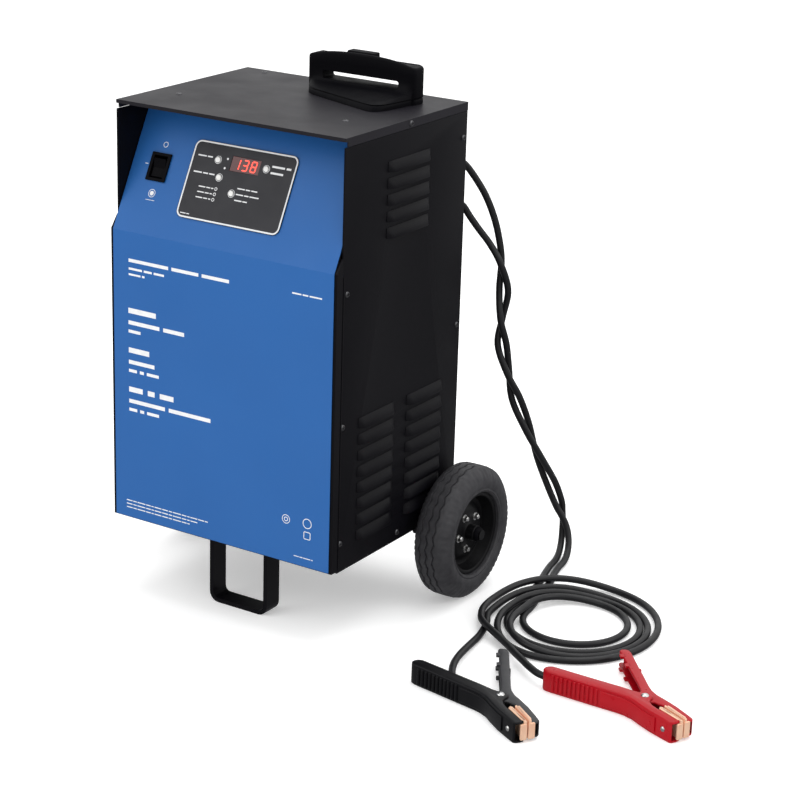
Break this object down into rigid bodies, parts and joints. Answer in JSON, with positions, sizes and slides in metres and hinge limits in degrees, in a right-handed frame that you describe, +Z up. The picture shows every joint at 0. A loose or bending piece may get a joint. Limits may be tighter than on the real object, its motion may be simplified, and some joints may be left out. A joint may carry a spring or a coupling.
{
  "type": "wheeled car battery charger",
  "caption": "Upright steel cabinet on wheels and a front foot, with a sloping control panel, a pull-up handle and coiled cables ending in spring clamps.",
  "frame": {"origin": "on the floor, below the middle of the charger's own box, its cables and clamps left out", "axes": "+X to the charger's right, +Y to its back, +Z up"},
  "size_m": [0.7723, 0.4738, 0.6195],
  "materials": {
    "black_steel": "black powder-coated sheet steel",
    "wheel_steel": "black painted pressed steel",
    "blue_film": "printed blue film, satin",
    "charcoal_film": "printed charcoal panel with a white border",
    "black_plastic": "moulded black plastic, fine grain",
    "white_plastic": "moulded white plastic",
    "red_window": "tinted red window",
    "circuit_board": "green circuit board",
    "core_steel": "varnished steel laminations",
    "winding_copper": "enamelled copper winding",
    "jaw_copper": "bright copper",
    "aluminium": "extruded aluminium",
    "zinc": "zinc-plated steel",
    "tyre_rubber": "ribbed black rubber",
    "cable_jacket": "black cable jacket, satin",
    "red_clamp_plastic": "moulded red plastic",
    "black_clamp_plastic": "moulded black plastic"
  },
  "bodies": {
    "cabinet": {"base_pan": "black_steel", "side_panel_left": "black_steel", "side_panel_right": "black_steel", "back_panel": "black_steel", "front_panel": "black_steel", "top_cover": "black_steel", "axle_bracket_left": "black_steel", "axle_bracket_right": "black_steel", "foot_bracket": "black_steel", "front_film": "blue_film", "control_panel": "charcoal_film", "display_module": "black_plastic", "rocker_housing": "black_plastic", "fan_frame": "black_plastic", "mains_inlet": "black_plastic", "red_cable_gland": "black_plastic", "black_cable_gland": "black_plastic", "handle_base": "black_plastic", "display_window": "red_window", "control_board": "circuit_board", "transformer_core": "core_steel", "transformer_coil": "winding_copper", "red_fixed_jaw": "jaw_copper", "black_fixed_jaw": "jaw_copper", "rectifier_plate": "aluminium", "axle": "zinc", "axle_nut_left": "zinc", "axle_nut_right": "zinc", "outer_tube_left": "zinc", "outer_tube_right": "zinc", "red_clamp_pin": "zinc", "black_clamp_pin": "zinc", "red_clamp_spring": "zinc", "black_clamp_spring": "zinc", "red_cable_hang": "cable_jacket", "black_cable_hang": "cable_jacket", "red_cable_tail": "cable_jacket", "black_cable_tail": "cable_jacket", "cable_coil": "cable_jacket", "red_fixed_arm": "red_clamp_plastic", "black_fixed_arm": "black_clamp_plastic"},
    "wheel_left": {"tyre_left": "tyre_rubber", "rim_left": "wheel_steel"},
    "wheel_right": {"tyre_right": "tyre_rubber", "rim_right": "wheel_steel"},
    "fan": {"fan_rotor": "black_plastic"},
    "handle": {"handle_grip": "black_plastic", "inner_tube_left": "black_steel", "inner_tube_right": "black_steel"},
    "handle_release": {"handle_button": "black_plastic"},
    "rocker": {"power_rocker": "black_plastic"},
    "rate_key": {"rate_button": "white_plastic"},
    "timer_key": {"timer_button": "white_plastic"},
    "start_key": {"start_button": "white_plastic"},
    "mode_key": {"mode_button": "white_plastic"},
    "red_jaw": {"red_moving_arm": "red_clamp_plastic", "red_moving_jaw": "jaw_copper"},
    "black_jaw": {"black_moving_arm": "black_clamp_plastic", "black_moving_jaw": "jaw_copper"}
  },
  "joints": [
    {"name": "wheel_left_spin", "type": "hinge", "parent": "cabinet", "child": "wheel_left", "pos_m": [-0.179, 0.0735, 0.078], "axis": [1, 0, 0], "continuous": true},
    {"name": "wheel_right_spin", "type": "hinge", "parent": "cabinet", "child": "wheel_right", "pos_m": [0.179, 0.0735, 0.078], "axis": [1, 0, 0], "continuous": true},
    {"name": "fan_spin", "type": "hinge", "parent": "cabinet", "child": "fan", "pos_m": [-0.065, 0.0858, 0.435], "axis": [0, 1, 0], "continuous": true},
    {"name": "handle_slide", "type": "slide", "parent": "cabinet", "child": "handle", "axis": [0, 0, 1], "range_m": [0, 0.36]},
    {"name": "handle_button_press", "type": "slide", "parent": "handle", "child": "handle_release", "axis": [0, 0, -1], "range_m": [0, 0.003], "stiffness_N_per_m": 400, "springref_m": -0.003},
    {"name": "power_rocker_tilt", "type": "hinge", "parent": "cabinet", "child": "rocker", "pos_m": [-0.109, -0.11332, 0.49383], "axis": [-1, 0, 0], "range_deg": [0, 18]},
    {"name": "rate_button_press", "type": "slide", "parent": "cabinet", "child": "rate_key", "axis": [0, 0.8902, -0.4555], "range_m": [0, 0.0006], "stiffness_N_per_m": 900, "springref_m": -0.001},
    {"name": "timer_button_press", "type": "slide", "parent": "cabinet", "child": "timer_key", "axis": [0, 0.8902, -0.4555], "range_m": [0, 0.0006], "stiffness_N_per_m": 900, "springref_m": -0.001},
    {"name": "start_button_press", "type": "slide", "parent": "cabinet", "child": "start_key", "axis": [0, 0.8902, -0.4555], "range_m": [0, 0.0006], "stiffness_N_per_m": 900, "springref_m": -0.001},
    {"name": "mode_button_press", "type": "slide", "parent": "cabinet", "child": "mode_key", "axis": [0, 0.8902, -0.4555], "range_m": [0, 0.0006], "stiffness_N_per_m": 900, "springref_m": -0.001},
    {"name": "red_clamp_open", "type": "hinge", "parent": "cabinet", "child": "red_jaw", "pos_m": [0.499, -0.084, 0.012], "axis": [0, 0, 1], "range_deg": [0, 22], "stiffness_Nm_per_rad": 1.5, "springref_deg": -28.65, "deforming": ["red_clamp_spring"]},
    {"name": "black_clamp_open", "type": "hinge", "parent": "cabinet", "child": "black_jaw", "pos_m": [0.3765, -0.17, 0.012], "axis": [0, 0, 1], "range_deg": [0, 22], "stiffness_Nm_per_rad": 1.5, "springref_deg": -28.65, "deforming": ["black_clamp_spring"]}
  ]
}
